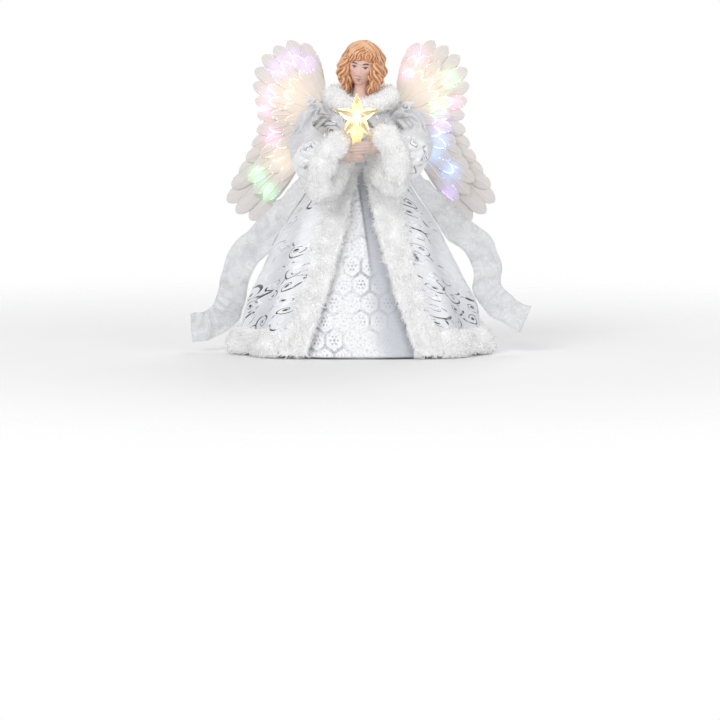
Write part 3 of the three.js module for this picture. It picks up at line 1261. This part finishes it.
add('right_ribbon', ribbon(-1, RIGHT_RIBBON), SHEER);

// Wings: in a group at each hinge, with X outward, Y to the back and Z up from the knuckle's middle

// Tips of the long feathers lie along this curve, from the top inner feather round to the lowest.
const TIP_LINE = [
  [35, 75], [51, 77], [74, 64], [85, 42], [83, 17],
  [81, -8], [92, -40], [111, -82], [88, -99],
];
const ROOT_HIGH = [15, 22];
const ROOT_LOW = [25, -15];
const flatCurve = (points) => spline(points.map(([x, z]) => vec(x, 0, z)));

// A flat piece standing in the wing's plane: its outline is drawn in X and Z, and low is its front in Y.
function upright(outline, low, thickness, segments) {
  const settings = { depth: thickness, bevelEnabled: false, curveSegments: segments };
  return new THREE.ExtrudeGeometry(outline, settings).rotateX(Math.PI / 2).translate(0, low + thickness, 0);
}

// A feather's outline: a slim quill end that swells to a blade with a round tip.
function featherOutline(side, root, tip, width) {
  const along = tip.clone().sub(root);
  const across = vec(-along.z, 0, along.x).normalize().multiplyScalar(width / 2);
  const at = (share, out) => {
    const p = root.clone().addScaledVector(along, share).addScaledVector(across, out);
    return [side * p.x, p.z];
  };
  const outline = new THREE.Shape();
  outline.moveTo(...at(0, -0.35));
  outline.quadraticCurveTo(...at(0.5, -1), ...at(0.84, -0.95));
  outline.quadraticCurveTo(...at(0.97, -0.8), ...at(1, 0));
  outline.quadraticCurveTo(...at(0.97, 0.8), ...at(0.84, 0.95));
  outline.quadraticCurveTo(...at(0.5, 1), ...at(0, 0.35));
  return outline;
}

// One layer of feathers, alternately a step apart so that each overlaps its neighbours.
function featherLayer(side, count, width, share, low, step) {
  const tips = flatCurve(TIP_LINE);
  const feathers = [];
  for (let i = 0; i < count; i += 1) {
    const place = i / (count - 1);
    const root = vec(mix(ROOT_HIGH[0], ROOT_LOW[0], place), 0, mix(ROOT_HIGH[1], ROOT_LOW[1], place));
    const tip = root.clone().lerp(tips.getPointAt(place), share);
    const outline = featherOutline(side, root, tip, width);
    feathers.push(upright(outline, low + (i % 2) * step, FEATHER_THICKNESS, 3));
  }
  return join(feathers);
}

// Frame: a hinge knuckle, a spar and an oval pad that the feather layers are bonded to, front and back
function wingFrame(side) {
  const half = KNUCKLE_LENGTH / 2;
  const knuckle = disc(KNUCKLE_RADIUS, -half, half, 0, 0, 16);
  const thick = WING_PAD_THICKNESS / 2;
  const ends = [0, side * PAD_X].sort((a, b) => a - b);
  const spar = block(vec(ends[0], -thick, -SPAR_HALF_HEIGHT), vec(ends[1], thick, SPAR_HALF_HEIGHT));
  const pad = new THREE.Shape();
  pad.absellipse(side * PAD_X, PAD_Z, PAD_HALF_WIDTH, PAD_HALF_HEIGHT, 0, 2 * Math.PI, false, 0);
  const plate = upright(pad, -thick, WING_PAD_THICKNESS, 16);
  const bore = disc(HINGE_PIN_RADIUS + RUNNING_GAP, -2 * half, 2 * half, 0, 0, 14);
  return cut(join([knuckle, spar, plate]), [bore]);
}

// Fibre strands: they fan out over the coverts from a ferrule beside the knuckle
function fibreFan(side, front) {
  const tips = flatCurve(TIP_LINE);
  const y = front - STRAND_RADIUS;
  const start = vec(KNUCKLE_RADIUS + FERRULE_OUT, 0, FERRULE_RISE);
  const strands = [];
  for (let i = 0; i < STRAND_COUNT; i += 1) {
    const tip = tips.getPointAt((i + 0.5) / STRAND_COUNT).lerp(start, 1 - COVERT_SHARE);
    const bend = start.clone().lerp(tip, 0.5).add(vec(0, 0, STRAND_ARCH));
    const route = spline([start, bend, tip].map((p) => vec(side * p.x, y, p.z)));
    strands.push(rod(route, 3, 4, STRAND_RADIUS));
  }
  const ferrule = egg(FERRULE_RADIUS, STRAND_RADIUS, FERRULE_RADIUS, vec(side * start.x, y, start.z), 10, 6);
  return join([ferrule, ...strands]);
}

const LAYER_DEPTH = FEATHER_THICKNESS + FEATHER_STEP;
for (const [name, side] of [['left', 1], ['right', -1]]) {
  const wing = new THREE.Group();
  wing.position.set(side * HINGE_X, HINGE_Y, HINGE_HEIGHT);
  wing.rotation.z = side * radians(WING_SWEEP);
  topper.add(wing);
  const back = WING_PAD_THICKNESS / 2 + SEAT_GAP;
  const longFeathers = featherLayer(side, LONG_FEATHER_COUNT, LONG_FEATHER_WIDTH, 1, back, FEATHER_STEP);
  const front = -back - FEATHER_THICKNESS;
  const coverts = featherLayer(side, COVERT_COUNT, COVERT_WIDTH, COVERT_SHARE, front, -FEATHER_STEP);
  add(`${name}_wing_frame`, wingFrame(side), WHITE_PLASTIC, wing);
  add(`${name}_long_feathers`, longFeathers, PEARL_FILM, wing);
  add(`${name}_covert_feathers`, coverts, PEARL_FILM, wing);
  add(`${name}_fibre_fan`, fibreFan(side, -back - LAYER_DEPTH - SEAT_GAP), CLEAR_FIBRE, wing);
}

export default topper;
